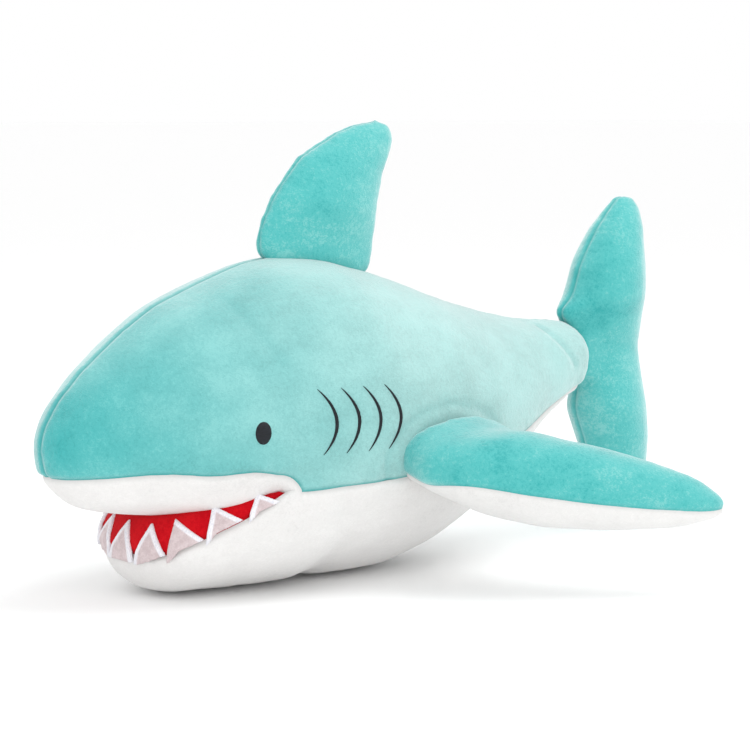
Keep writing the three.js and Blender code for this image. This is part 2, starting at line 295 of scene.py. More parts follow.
def cut_along(obj, field, where=None):
    """Puts edges along field = 0, so that the mesh can be parted there."""
    places = coords(obj)
    ends = edge_ends(obj)
    value = field(places)
    allowed = np.ones(len(places), bool) if where is None else where(places)

    def crossing():
        a, b = ends.T
        return np.nonzero((value[a] * value[b] < 0) & allowed[a] & allowed[b])[0]

    near = {}
    for i in crossing():
        for v, other in (ends[i], ends[i][::-1]):
            share = value[v] / (value[v] - value[other])
            if share < 0.28 and share < near.get(v, (1, 0))[0]:
                near[v] = (share, other)
    onto = places.copy()
    for v, (share, other) in near.items():
        onto[v] = places[v] * (1 - share) + places[other] * share
        value[v] = 0
    set_coords(obj, onto)
    bm = bmesh.new()
    bm.from_mesh(obj.data)
    verts = list(bm.verts)
    bm.edges.ensure_lookup_table()
    chosen = [(bm.edges[i], *ends[i]) for i in crossing()]
    on_line = [verts[i] for i in near]
    for edge, a, b in chosen:
        share = value[a] / (value[a] - value[b])
        on_line.append(bmesh.utils.edge_split(edge, verts[a], share)[1])
    bmesh.ops.connect_verts(bm, verts=on_line)
    bm.to_mesh(obj.data)
    bm.free()


def seam_points(obj, field, where=None, step=0.5 * MM):
    """Points all along the edges that lie on field = 0."""
    places = coords(obj)
    on_line = np.abs(field(places)) < 0.06 * MM
    if where is not None:
        on_line &= where(places)
    ends = edge_ends(obj)
    ends = ends[on_line[ends].all(1)]
    start, end = places[ends[:, 0]], places[ends[:, 1]]
    length = np.linalg.norm(end - start, axis=1)
    found = []
    for a, b, size in zip(start, end, length):
        steps = max(1, round(size / step))
        found.extend(a + (b - a) * k / steps for k in range(steps + 1))
    return np.array(found)


def noise_at(places, size, seed):
    """Smooth noise from about -1 to 1, with lumps of the given size."""
    offset = Vector((seed * 7.31, seed * 3.17, seed * 5.71))
    return np.array([noise.noise(Vector(p / size) + offset) for p in places])


def bell(distance, width):
    return np.exp(-((distance / width) ** 2))


def eased(share):
    return share * share * (3 - 2 * share)


def sew(obj, points, depth=SEAM_DEPTH, width=SEAM_WIDTH, pucker=SEAM_PUCKER, seed=1):
    """Draws the fabric in along a seam or a crease, with small puckers across it. The seam attribute marks
    where the colour is darkened with painted shade and the pile has less sheen: fully in a stitched seam, and
    slightly in a wide crease."""
    places = coords(obj)
    distance, closest = nearest(points, places, 22 * MM)
    near = distance < 21.9 * MM
    ripple = np.zeros(len(places))
    ripple[near] = noise_at(closest[near], 9 * MM, seed) + 0.6 * noise_at(closest[near], 4.5 * MM, seed + 1)
    inwards = depth * bell(distance, width)
    waves = pucker * ripple * bell(distance, 8 * MM) * np.clip(distance / (3 * MM), 0, 1)
    set_coords(obj, places - vertex_normals(obj) * (inwards + waves)[:, None])
    if "seam" not in obj.data.attributes:
        obj.data.attributes.new("seam", "FLOAT", "POINT")
    values = obj.data.attributes["seam"].data
    shade = np.zeros(len(places), np.float32)
    values.foreach_get("value", shade)
    # Painted shade in the groove: full in a stitched seam, a little in a wide crease.
    stitched = min(1, depth / SEAM_DEPTH) if width < WIDEST_STITCH else 0.15
    painted_groove_shade = stitched * bell(distance, 0.7 * width)
    values.foreach_set("value", np.maximum(shade, painted_groove_shade).astype(np.float32))


def rumple(obj, size, amount, seed):
    """Soft dents and bulges of the given size, up to about that amount."""
    places = coords(obj)
    set_coords(obj, places + vertex_normals(obj) * (amount * noise_at(places, size, seed))[:, None])


def piece_from(obj, name, picked):
    """A new object from the picked faces of a skin, its edge turned in."""
    bm = bmesh.new()
    bm.from_mesh(obj.data)
    bm.normal_update()
    bmesh.ops.delete(bm, geom=[f for f, kept in zip(list(bm.faces), picked) if not kept], context="FACES")
    edge = [e for e in bm.edges if e.is_boundary]
    for e in edge:
        e.smooth = False
    inwards = {v.co.to_tuple(7): v.normal.copy() for e in edge for v in e.verts}
    made = bmesh.ops.extrude_edge_only(bm, edges=edge)["geom"]
    for v in made:
        if isinstance(v, bmesh.types.BMVert):
            v.co -= inwards[v.co.to_tuple(7)] * SEAM_TURN
    bmesh.ops.recalc_face_normals(bm, faces=bm.faces)
    for face in bm.faces:
        face.smooth = True
    return object_from(name, bm)


# Materials


def link(tree, source, target):
    tree.links.new(source, target)


def noise_node(tree, vector, scale, detail, roughness=0.5):
    node = tree.nodes.new("ShaderNodeTexNoise")
    node.inputs["Scale"].default_value = scale
    node.inputs["Detail"].default_value = detail
    node.inputs["Roughness"].default_value = roughness
    link(tree, vector, node.inputs["Vector"])
    return node.outputs["Fac"]


def weighted(tree, parts):
    """The sum of value * weight for each part."""
    total = None
    for value, weight in parts:
        node = tree.nodes.new("ShaderNodeMath")
        node.operation = "MULTIPLY_ADD"
        link(tree, value, node.inputs[0])
        node.inputs[1].default_value = weight
        if total is None:
            node.inputs[2].default_value = 0
        else:
            link(tree, total, node.inputs[2])
        total = node.outputs[0]
    return total


def new_material(name):
    material = bpy.data.materials.new(name)
    material.use_nodes = True
    return material, material.node_tree, material.node_tree.nodes["Principled BSDF"]


def color_steps(tree, value, steps):
    ramp = tree.nodes.new("ShaderNodeValToRGB")
    ramp.color_ramp.interpolation = "EASE"
    while len(ramp.color_ramp.elements) < len(steps):
        ramp.color_ramp.elements.new(0.5)
    for element, (place, color) in zip(ramp.color_ramp.elements, steps):
        element.position = place
        element.color = (*color, 1)
    link(tree, value, ramp.inputs["Fac"])
    return ramp.outputs["Color"]


def stretched(tree, vector, scale):
    node = tree.nodes.new("ShaderNodeMapping")
    node.inputs["Scale"].default_value = scale
    link(tree, vector, node.inputs["Vector"])
    return node.outputs["Vector"]


def mixed(tree, share, first, second):
    """The first colour turned to the second by the share. The second is a socket or a plain colour."""
    mix = tree.nodes.new("ShaderNodeMix")
    mix.data_type = "RGBA"
    link(tree, share, mix.inputs[0])
    link(tree, first, mix.inputs[6])
    if isinstance(second, tuple):
        mix.inputs[7].default_value = (*second, 1)
    else:
        link(tree, second, mix.inputs[7])
    return mix.outputs[2]


def relief(tree, shader, height, strength, distance):
    bump = tree.nodes.new("ShaderNodeBump")
    bump.inputs["Strength"].default_value = strength
    bump.inputs["Distance"].default_value = distance
    link(tree, height, bump.inputs["Height"])
    link(tree, bump.outputs["Normal"], shader.inputs["Normal"])


def share_along(tree, place, start, end, patches):
    """From 0 at start to 1 at end along the shark, with an uneven edge."""
    split = tree.nodes.new("ShaderNodeSeparateXYZ")
    link(tree, place, split.inputs[0])
    along = tree.nodes.new("ShaderNodeMapRange")
    along.inputs["From Min"].default_value = start
    along.inputs["From Max"].default_value = end
    link(tree, weighted(tree, [(split.outputs["Y"], 1.0), (patches, 0.10)]), along.inputs["Value"])
    return along.outputs["Result"]


def point_attribute(tree, name):
    node = tree.nodes.new("ShaderNodeAttribute")
    node.attribute_name = name
    return node.outputs["Fac"]


def plush(name, dark, middle, light, sheen, sheen_tint, bump=0.5, shade_along_y=None):
    """Short cut pile: broad patches where the pile lies differently, small tufts, and single fibres. In the
    seams its colour is darkened with painted shade and it has less sheen. The last argument, (start, end,
    colour), turns the colour to another one between two places along Y; on the body this leaves the snout
    darker as painted shade and the fabric paler towards the tail."""
    material, tree, shader = new_material(name)
    place = tree.nodes.new("ShaderNodeTexCoord").outputs["Object"]
    patches = noise_node(tree, place, 16, 2)
    strokes = noise_node(tree, stretched(tree, place, (1.0, 0.45, 1.0)), 75, 3, 0.6)
    tufts = noise_node(tree, place, 420, 3, 0.65)
    fibres = noise_node(tree, stretched(tree, place, (1.0, 0.5, 1.0)), 1500, 2, 0.7)
    tone = weighted(tree, [(patches, 0.40), (strokes, 0.36), (tufts, 0.36), (fibres, 0.36)])
    color = color_steps(tree, tone, [(0.56, dark), (0.74, middle), (0.90, light)])
    # Painted shade: on the body the colour is darker on the snout and turns paler towards the tail.
    if shade_along_y:
        start, end, rear_colour = shade_along_y
        pale = color_steps(tree, tone, [(0.56, tuple(0.8 * part for part in rear_colour)), (0.88, rear_colour)])
        color = mixed(tree, share_along(tree, place, start, end, patches), color, pale)
    # Painted shade: the seam attribute darkens the colour in seam grooves and, less, in wide creases.
    seam = point_attribute(tree, "seam")
    groove_shade_colour = tuple(0.8 * part for part in dark)
    link(tree, mixed(tree, weighted(tree, [(seam, 0.75)]), color, groove_shade_colour), shader.inputs["Base Color"])
    lying = tree.nodes.new("ShaderNodeMath")
    lying.operation = "MULTIPLY_ADD"
    link(tree, seam, lying.inputs[0])
    lying.inputs[1].default_value = -0.9 * sheen
    lying.inputs[2].default_value = sheen
    link(tree, lying.outputs[0], shader.inputs["Sheen Weight"])
    shader.inputs["Sheen Roughness"].default_value = 0.45
    shader.inputs["Sheen Tint"].default_value = (*sheen_tint, 1)
    shader.inputs["Roughness"].default_value = 0.95
    shader.inputs["Specular IOR Level"].default_value = 0.15
    pile = weighted(tree, [(strokes, 0.5), (tufts, 0.5), (fibres, 0.6)])
    relief(tree, shader, pile, bump, 1.3 * MM)
    return material


AQUA = plush(
    "aqua_plush",
    (0.035, 0.38, 0.38),
    (0.085, 0.48, 0.47),
    (0.20, 0.57, 0.55),
    1.0,
    (0.97, 1.0, 1.0),
)
# The body's aqua: darker than the fins' aqua, darkest on the snout as painted shade, paler towards the tail.
AQUA_BODY = plush(
    "aqua_plush_shaded_snout",
    (0.028, 0.35, 0.35),
    (0.052, 0.43, 0.43),
    (0.11, 0.51, 0.50),
    1.0,
    (0.97, 1.0, 1.0),
    shade_along_y=(-0.20, 0.03, (0.37, 0.63, 0.61)),
)
WHITE = plush(
    "white_plush",
    (0.69, 0.68, 0.67),
    (0.75, 0.74, 0.73),
    (0.79, 0.78, 0.77),
    0.3,
    (1.0, 1.0, 1.0),
    0.35,
)
RED = plush(
    "red_lining",
    (0.36, 0.0, 0.004),
    (0.50, 0.0, 0.006),
    (0.60, 0.004, 0.010),
    0.12,
    (1.0, 0.3, 0.3),
    0.35,
)


def thread(name, color):
    """Satin stitch: fine threads side by side, slightly uneven."""
    material, tree, shader = new_material(name)
    place = tree.nodes.new("ShaderNodeTexCoord").outputs["Object"]
    strands = noise_node(tree, stretched(tree, place, (0.12, 0.12, 1.0)), 2300, 1, 0.4)
    uneven = noise_node(tree, place, 500, 2)
    tone = weighted(tree, [(strands, 0.6), (uneven, 0.4)])
    dark = tuple(0.55 * part for part in color)
    link(tree, color_steps(tree, tone, [(0.35, dark), (0.65, color)]), shader.inputs["Base Color"])
    shader.inputs["Roughness"].default_value = 0.6
    shader.inputs["Specular IOR Level"].default_value = 0.3
    relief(tree, shader, strands, 0.6, 0.3 * MM)
    return material


BLACK = thread("black_thread", (0.010, 0.013, 0.018))


def felt(name):
    """Pale felt with a wide satin-stitched edge, which the mesh's border attribute marks."""
    material, tree, shader = new_material(name)
    place = tree.nodes.new("ShaderNodeTexCoord").outputs["Object"]
    fibres = noise_node(tree, place, 900, 4, 0.7)
    matted = noise_node(tree, place, 220, 3, 0.6)
    cloth = color_steps(
        tree,
        weighted(tree, [(fibres, 0.5), (matted, 0.5)]),
        [(0.35, (0.54, 0.44, 0.45)), (0.65, (0.68, 0.58, 0.59))],
    )
    strands = noise_node(tree, stretched(tree, place, (1.0, 1.0, 0.2)), 1900, 1, 0.4)
    edge = color_steps(tree, strands, [(0.35, (0.70, 0.70, 0.76)), (0.6, (0.84, 0.83, 0.86))])
    color = mixed(tree, point_attribute(tree, "border"), cloth, edge)
    link(tree, color, shader.inputs["Base Color"])
    shader.inputs["Roughness"].default_value = 0.85
    shader.inputs["Specular IOR Level"].default_value = 0.2
    shader.inputs["Sheen Weight"].default_value = 0.2
    relief(tree, shader, weighted(tree, [(fibres, 0.6), (strands, 0.5)]), 0.5, 0.4 * MM)
    return material


FELT = felt("tooth_felt")


def dress(piece, material, replaced):
    piece.data.materials.clear()
    piece.data.materials.append(material)
    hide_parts(*replaced)


# Lines that the CAD panels share, read from their edges


def edge_line(node, highest, spacing=8 * MM):
    """The upper or lower edge of a node as height over the distance along the shark."""
    points = node_points(node)
    points = points[np.argsort(points[:, 1])]
    slots = np.floor((points[:, 1] - points[0, 1]) / spacing).astype(int)
    found = []
    for slot in np.unique(slots):
        group = points[slots == slot]
        found.append(group[(np.argmax if highest else np.argmin)(group[:, 2])])
    line = np.array(found)
    return lambda y: np.interp(y, line[:, 1], line[:, 2])


throat = joints["jaw_open"]["pos_m"][1]
floor_of_mouth = 43 * MM  # the lining lies above this height
panel_edge = edge_line("back_panel_left", highest=False)
cover_edge = edge_line("jaw_cover", highest=True, spacing=5 * MM)
LIP_RISE = 9 * MM  # the white lip is this much higher just before the corner of the mouth
LIP_DROP = 5.5 * MM  # and its lower edge hangs down by this much
RIM_RISE = 5.5 * MM  # near the corner the jaw's rim closes up to it
ON_SEAM = 0.1 * MM


def side_seam(y):
    """The panels' seam. Above the mouth it rises from the corner, so that a white lip shows."""
    ahead = (throat + 3 * MM - y) / (13 * MM)
    rounded = np.sqrt(np.clip(ahead, 0, 1) * (2 - np.clip(ahead, 0, 1)))
    fade = np.clip(1 - (throat - 16 * MM - y) / (45 * MM), 0, 1)
    return panel_edge(y) + LIP_RISE * rounded * eased(fade)


def jaw_rim(y):
    """The edge of the jaw cover."""
    return cover_edge(y) + RIM_RISE * bell(y - throat + 4 * MM, 16 * MM)


lining = np.unique(node_points("mouth_roof_lining")[:, :2].round(4), axis=0)
outline = lining[geometry.convex_hull_2d([tuple(p) for p in lining])]


def above_side_seam(places):
    return places[:, 2] - side_seam(places[:, 1])


def above_rim(places):
    return places[:, 2] - jaw_rim(places[:, 1])


def outside_lining(places):
    """Distance outside the mouth lining's outline, seen from below; negative inside it."""
    following = np.roll(outline, -1, axis=0)
    along = following - outline
    across = np.stack([along[:, 1], -along[:, 0]], 1)
    across /= np.linalg.norm(across, axis=1, keepdims=True)
    if ((outline.mean(0) - outline[0]) @ across[0]) > 0:
        across = -across
    return ((places[:, None, :2] - outline[None]) * across[None]).sum(2).max(1)


# Torso and jaw: inflated skins, parted at their seams


def rear_part(obj, y):
    """A closed copy of the part of a skin behind y."""
    bm = bmesh.new()
    bm.from_mesh(obj.data)
    everything = [*bm.verts, *bm.edges, *bm.faces]
    plane = {"plane_co": (0, y, 0), "plane_no": (0, -1, 0)}
    cut = bmesh.ops.bisect_plane(bm, geom=everything, clear_outer=True, **plane)
    rim = [e for e in cut["geom_cut"] if isinstance(e, bmesh.types.BMEdge)]
    bmesh.ops.triangle_fill(bm, edges=rim, use_beauty=True)
    return bm


def lower_head(places):
    """Whether the places are on the white or lined part of the snout."""
    return (places[:, 1] < throat + 2 * MM) & (places[:, 2] < side_seam(places[:, 1]) + ON_SEAM)


def back(places):
    """Whether the places are on the aqua fabric."""
    return above_side_seam(places) > -ON_SEAM


def sideways(places):
    """Distance from the seam along the middle of the back."""
    return places[:, 0]


def make_skins():
    """The torso's skin, and the skin of the belly with the jaw closed up to it."""
    torso = skin_over("torso_skin", joined(["torso_stuffing"]), BODY_VOXEL)
    under = rear_part(torso, throat + 5 * MM)
    jaw = skin_over("jaw_skin", joined(["jaw_stuffing"]), JAW_VOXEL)
    under.from_mesh(jaw.data)
    bpy.data.objects.remove(jaw)
    found = node_points("belly_panel", "jaw_cover", "jaw_stuffing")
    around_throat = abs(found[:, 1] - throat - 6 * MM) < 14 * MM
    add_hull(under, found[around_throat & (found[:, 2] < 62 * MM)])
    return torso, remeshed("under_skin", under, BODY_VOXEL, 10)


torso_skin, under_skin = make_skins()


def rumple_body(obj):
    """The wide dents of a loose filling and finer ones between them."""
    rumple(obj, 60 * MM, 1.2 * MM, 3)
    rumple(obj, 24 * MM, 0.4 * MM, 5)


held = [
    crossings(torso_skin, above_side_seam),
    crossings(torso_skin, sideways, back),
    crossings(torso_skin, outside_lining, lower_head),
]
inflate(torso_skin, np.concatenate(held), BODY_SWELL)
subdivide(torso_skin, 2)
rumple_body(torso_skin)


def lower_lip(obj):
    """Lets the snout's white lip hang down between the side seam and the mouth's lining, most of all over the
    rear teeth."""
    places = coords(obj)
    below = np.clip((side_seam(places[:, 1]) - places[:, 2]) / (14 * MM), 0, 1)
    inner = np.clip(1 + (outside_lining(places) - 2 * MM) / (22 * MM), 0, 1)
    ahead = np.clip((throat - places[:, 1]) / (9 * MM), 0, 1)
    full = LIP_DROP * (1 + 0.8 * bell(throat - 24 * MM - places[:, 1], 22 * MM))
    places[:, 2] -= full * eased(below) * inner * ahead
    set_coords(obj, places)


lower_lip(torso_skin)
cut_along(torso_skin, above_side_seam)
cut_along(torso_skin, sideways, back)
cut_along(torso_skin, outside_lining, lower_head)


def torso_panels():
    """For each fabric panel of the torso, which faces of the skin it takes."""
    centres = face_values(torso_skin, "center")
    above = above_side_seam(centres) > 0
    snout = (above_side_seam(centres) < 0) & (centres[:, 1] < throat + 6 * MM)
    return {
        "left": above & (centres[:, 0] > 0),
        "right": above & (centres[:, 0] < 0),
        "snout": snout & (outside_lining(centres) > 0),
        "roof": snout & (outside_lining(centres) < 0),
    }


def crease(field, low, high):
    """Points of the torso's skin where the field is 0, between two heights."""
    found = crossings(torso_skin, field)
    return found[(found[:, 2] > low) & (found[:, 2] < high)]


def fold_around_fin(side):
    """Points of the torso's skin on an arch over a pectoral fin's root."""
    centre = np.array(joints[f"{side}_pectoral_flap"]["pos_m"], float)

    def outside(places):
        along, across = places[:, 1] - centre[1], places[:, 2] - centre[2]
        return np.sqrt((along / FOLD_LENGTH) ** 2 + (across / FOLD_HEIGHT) ** 2) - 1

    found = crossings(torso_skin, outside)
    return found[(found[:, 0] * centre[0] > 0) & (found[:, 2] > centre[2] - 10 * MM)]


def on_collar(places):
    return places[:, 1] - stock_end + 6 * MM


def on_forehead(places):
    height = places[:, 2] - side_seam(places[:, 1])
    return places[:, 1] - throat + 4 * MM + 0.5 * (height - 75 * MM)


def on_stock(places):
    return places[:, 1] - stock_end + 34 * MM + 0.7 * (places[:, 2] - 130 * MM)


FOLD_LENGTH, FOLD_HEIGHT = 55 * MM, 34 * MM
stock_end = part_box("torso_stuffing")[1].y
panel_faces = torso_panels()
# Points, depth, width and pucker of each seam and crease
seams = [
    (seam_points(torso_skin, above_side_seam), SEAM_DEPTH, SEAM_WIDTH, SEAM_PUCKER),
    (seam_points(torso_skin, sideways, back), 1.1 * MM, 2.2 * MM, 0.4 * MM),
    (seam_points(torso_skin, outside_lining, lower_head), SEAM_DEPTH, SEAM_WIDTH, SEAM_PUCKER),
    (crossings(torso_skin, on_collar), 1.4 * MM, 2.4 * MM, 0.7 * MM),
    (crease(on_stock, 122 * MM, 148 * MM), 1.3 * MM, 3.5 * MM, 0.2 * MM),
    (crease(on_forehead, 145 * MM, 180 * MM), 0.7 * MM, 7 * MM, 0.2 * MM),
    (fold_around_fin("left"), 1.0 * MM, 4 * MM, SEAM_PUCKER),
    (fold_around_fin("right"), 1.0 * MM, 4 * MM, SEAM_PUCKER),
]
for seed, (points, depth, width, pucker) in enumerate(seams):
    sew(torso_skin, points, depth, width, pucker, seed=11 + 10 * seed)


def white_below(places):
    """Height over the white fabric's upper edge: the side seam behind the throat, the rim of the jaw ahead."""
    ahead = places[:, 1] < throat
    return np.where(ahead, above_rim(places), above_side_seam(places))


def lined(places):
    """The places in the mouth, where the skin stays as it is."""
    return places[(white_below(places) > 0) & (places[:, 1] < throat + 10 * MM)]


held = [crossings(under_skin, white_below), lined(coords(under_skin))]
inflate(under_skin, np.concatenate(held), BODY_SWELL)
subdivide(under_skin, 2)
rumple_body(under_skin)
cut_along(under_skin, white_below)


def under_panels():
    """Which faces of the lower skin are white fabric, and which are the lining of the mouth's floor."""
    centres, normals = face_values(under_skin, "center"), face_values(under_skin, "normal")
    ahead = centres[:, 1] < throat + 3 * MM
    in_mouth = ahead & (centres[:, 2] > floor_of_mouth) & (outside_lining(centres) < 0) & (normals[:, 2] > 0)
    white = (white_below(centres) < 0) & ~in_mouth
    return white, ~white & ahead


white_faces, red_faces = under_panels()
sew(under_skin, seam_points(under_skin, white_below), seed=11)


def make_body():
    """The panels of the torso, and the belly with the jaw."""
    for name in ("left", "right"):
        panel = piece_from(torso_skin, f"back_{name}", panel_faces[name])
        stuffing = ["torso_stuffing"] if name == "left" else []
        dress(panel, AQUA_BODY, [f"back_panel_{name}", *stuffing])
        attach(panel, "torso")
    snout = piece_from(torso_skin, "snout_underside", panel_faces["snout"])
    dress(snout, WHITE, ["snout_underside_panel"])
    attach(snout, "torso")
    roof = piece_from(torso_skin, "mouth_roof", panel_faces["roof"])
    dress(roof, RED, ["mouth_roof_lining"])
    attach(roof, "torso")
    belly = piece_from(under_skin, "belly_and_jaw", white_faces)
    dress(belly, WHITE, ["belly_panel", "jaw_cover", "jaw_stuffing"])
    floor = piece_from(under_skin, "mouth_floor", red_faces)
    dress(floor, RED, ["mouth_floor_lining"])
    for piece in (belly, floor):
        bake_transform(piece)


make_body()

# Face: satin-stitched patches raised on the cheeks


def surface_of(obj):
    return BVHTree.FromObject(obj, bpy.context.evaluated_depsgraph_get())


def on_cheek(surface, side, y, z, height):
    """A point that far off the cheek of one side. y and z say where on the cheek."""
    hit, normal, _, _ = surface.ray_cast(Vector((side * 0.3, y, z)), Vector((-side, 0, 0)))
    return hit + normal * height


def grid_piece(name, rows, closed):
    """A patch from rows of points; closed joins each row's end to its start."""
    bm = bmesh.new()
    made = [[bm.verts.new(p) for p in row] for row in rows]
    across = len(rows[0])
    for near, far in zip(made, made[1:]):
        for i in range(across if closed else across - 1):
            j = (i + 1) % across
            corners = list(dict.fromkeys((near[i], near[j], far[j], far[i])))
            bm.faces.new(corners)
    bmesh.ops.remove_doubles(bm, verts=bm.verts, dist=1e-6)
    bmesh.ops.recalc_face_normals(bm, faces=bm.faces)
    for face in bm.faces:
        face.smooth = True
    return object_from(name, bm)


EDGE_TUCK = 0.5 * MM  # a patch's edge lies this far below the pile
EYE_TILT = math.radians(-12)
EYE_HEIGHT = 1.5 * MM
GILL_WIDTH, GILL_HEIGHT = 3.0 * MM, 1.0 * MM


def make_eye(surface, name, side):
    """A domed oval patch of satin stitch with a slightly ragged edge."""
    low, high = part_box(name)
    middle, half = (low + high) / 2, (high - low) / 2
    rings, around = 12, 96
    rows = []
    for ring in range(1, rings + 1):
        share = ring / rings
        row = []
        for k in range(around):
            angle = 2 * math.pi * k / around
            ragged = 1 + 0.035 * share**4 * noise.noise(Vector((k * 0.9, side * 5, 1.3)))
            a = half.y * 0.96 * share * ragged * math.cos(angle)
            b = half.z * share * ragged * math.sin(angle)
            y = middle.y + a * math.cos(EYE_TILT) - b * math.sin(EYE_TILT)
            z = middle.z + a * math.sin(EYE_TILT) + b * math.cos(EYE_TILT)
            height = (EDGE_TUCK + EYE_HEIGHT) * (1 - share**4) - EDGE_TUCK
            row.append(on_cheek(surface, side, y, z, height))
        rows.append(row)
    centre = on_cheek(surface, side, middle.y, middle.z, EYE_HEIGHT)
    rows.insert(0, [centre + (p - centre) * 0.02 for p in rows[0]])
    eye = grid_piece(f"{name}_stitched", rows, closed=True)
    dress(eye, BLACK, [name])
    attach(eye, "torso")


def make_gill(surface, name, side, seed):
    """A curved line of satin stitch that tapers to both ends. Every second stitch stands a little higher."""
    low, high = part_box(name)
    middle, half = (low.z + high.z) / 2, (high.z - low.z) / 2
    stitches, across = 120, 9
    rows = []
    for k in range(stitches + 1):
        part = 2 * k / stitches - 1
        taper = max(0.0, 1 - abs(part) ** 2.4) ** 0.6
        jitter = 0.22 * MM * noise.noise(Vector((k * 0.8, seed, 0)))
        half_width = max(0.25 * MM, GILL_WIDTH / 2 * taper + jitter * taper)
        centre = low.y + (high.y - low.y - GILL_WIDTH / 2) * (1 - part * part) + 0.4 * jitter
        row = []
        for j in range(across):
            s = 2 * j / (across - 1) - 1
            ridge = 0.12 * MM * (k % 2)
            raised = GILL_HEIGHT * (0.35 + 0.65 * taper) + ridge
            height = (EDGE_TUCK + raised) * (1 - s * s) - EDGE_TUCK
            row.append(on_cheek(surface, side, centre + s * half_width, middle + part * half, height))
        rows.append(row)
    gill = grid_piece(f"{name}_stitched", rows, closed=False)
    dress(gill, BLACK, [name])
    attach(gill, "torso")


def make_face():
    surface = surface_of(torso_skin)
    for name, side in (("left", 1), ("right", -1)):
        make_eye(surface, f"{name}_eye", side)
        for index in range(1, 5):
            make_gill(surface, f"{name}_gill_{index}", side, index * 3.3 + side)


make_face()

# Teeth: felt with a raised satin-stitched border along the two free edges

BORDER = 3.2 * MM
BORDER_RISE = 0.55 * MM
BASE_DROP, BASE_TUCK = 4.5 * MM, 1.2 * MM  # a tooth's base runs on down the jaw and into its fabric
TOOTH_SINK = 0.2 * MM
jaw_surface = surface_of(under_skin)


def tooth_axes(points):
    """The middle of a tooth, the direction that it faces and the direction of its tip."""
    middle = points.mean(0)
    _, directions = np.linalg.eigh(np.cov((points - middle).T))
    outward = directions[:, 0]
    jaw_low, jaw_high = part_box("jaw_cover")
    inside = np.array(((jaw_low + jaw_high) / 2)[:])
    inside[1] += 20 * MM
    if outward @ (middle - inside) < 0:
        outward = -outward
    up = np.array([0, 0, 1.0]) - outward[2] * outward
    return middle, outward, up / np.linalg.norm(up)


def free_edges(name, outward, up):
    """The narrow faces along the two free edges of a tooth."""
    walls = bmesh.new()
    walls.from_mesh(nodes[name].data)
    front, top = Vector(outward), Vector(up)
    drop = [face for face in walls.faces if abs(face.normal @ front) > 0.6 or face.normal @ top < 0.1]
    bmesh.ops.delete(walls, geom=drop, context="FACES")
    edges = BVHTree.FromBMesh(walls)
    walls.free()
    return edges


def stand_off(back_points, outward):
    """How far a tooth's back stands off the jaw's fabric, measured where both face the same way."""
    gaps = []
    for point in back_points:
        hit, normal, _, distance = jaw_surface.find_nearest(Vector(point))
        if normal @ Vector(outward) > 0.9 and distance < 5 * MM:
            gaps.append((point - np.array(hit)) @ outward)
    return np.mean(gaps) + TOOTH_SINK if gaps else 0


def make_tooth(name):
    """A felt tooth with a raised stitched border, laid against the jaw."""
    tooth = remeshed(f"{name}_felt", joined([name]), TOOTH_VOXEL, 2)
    middle, outward, up = tooth_axes(node_points(name))
    edges = free_edges(name, outward, up)
    places = coords(tooth)
    facing = vertex_normals(tooth) @ outward
    distance = np.array([edges.find_nearest(Vector(p))[3] for p in places])
    border = np.clip((BORDER - distance) / (0.6 * MM), 0, 1)
    swollen = np.sqrt(np.clip(1 - ((distance - BORDER / 2) / (BORDER / 2)) ** 2, 0, 1))
    places += outward * (BORDER_RISE * swollen * np.clip(facing, 0, 1))[:, None]
    height = (places - middle) @ up
    base = np.clip(1 - (height - height.min()) / (3 * MM), 0, 1)
    places -= (up * BASE_DROP + outward * BASE_TUCK) * base[:, None]
    places -= outward * stand_off(places[facing < -0.8], outward)
    set_coords(tooth, places)
    marks = tooth.data.attributes.new("border", "FLOAT", "POINT")
    marks.data.foreach_set("value", border.astype(np.float32))
    tooth.data.shade_smooth()
    dress(tooth, FELT, [name])
    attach(tooth, "jaw")


side_teeth = [f"tooth_{side}_{index}" for side in ("left", "right") for index in range(1, 5)]
for name in ["tooth_centre", *side_teeth]:
    make_tooth(name)

# Fins


def fin_axes(joint_name, points):
    """A fin's hinge point and the directions of its span and of its thickness."""
    joint = joints[joint_name]
    root = np.array(joint["pos_m"], float)
    chord = np.array(joint["axis"], float)
    chord /= np.linalg.norm(chord)
    reach = points - root
    tip = reach[np.argmax(np.linalg.norm(reach, axis=1))]
    span = tip - (tip @ chord) * chord
    span /= np.linalg.norm(span)
    return root, span, np.cross(span, chord)


def add_plug(bm, ring, step):
    """Carries a fin's root on into the torso."""
    add_hull(bm, np.concatenate([ring, ring + step]))


def make_fin(name, axes, filling, panels, stuffing, materials, root_dip=0.0):
    """Lays a skin over the filling and parts it into two panels. The seam dips by root_dip at the root."""
    root, span, thick = axes
    skin = skin_over(f"{name}_skin", filling, FIN_VOXEL)
    outward = node_points(panels[0]).mean(0) - node_points(panels[1]).mean(0)
    if outward @ thick < 0:
        thick = -thick

    def sides(places):
        """Distance from the seam, positive on the first panel."""
        offset = places - root
        return offset @ thick + root_dip * bell(np.clip(offset @ span, 0, None), 20 * MM)

    inflate(skin, crossings(skin, sides), FIN_SWELL)
    subdivide(skin, 2)
    rumple(skin, 35 * MM, 0.8 * MM, len(name))
    cut_along(skin, sides)
    first = sides(face_values(skin, "center")) > 0
    sew(skin, seam_points(skin, sides), 1.0 * MM, 2.0 * MM, SEAM_PUCKER, seed=len(name) + 40)
    for index, (panel, (material, slot)) in enumerate(zip(panels, materials)):
        piece = piece_from(skin, f"{panel}_fabric", ~first if index else first)
        dress(piece, material, [panel] if index else [panel, stuffing])
        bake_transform(piece)
    bpy.data.objects.remove(skin)


def make_raised_fin(name, joint_name, panels, stuffing, materials, plug, root_dip=0.0):
    """A fin that stands out from the torso along its span."""
    points = node_points(stuffing)
    axes = fin_axes(joint_name, points)
    root, span, _ = axes
    filling = joined([stuffing])
    add_plug(filling, points[abs((points - root) @ span) < 4 * MM], -span * plug)
    make_fin(name, axes, filling, panels, stuffing, materials, root_dip)


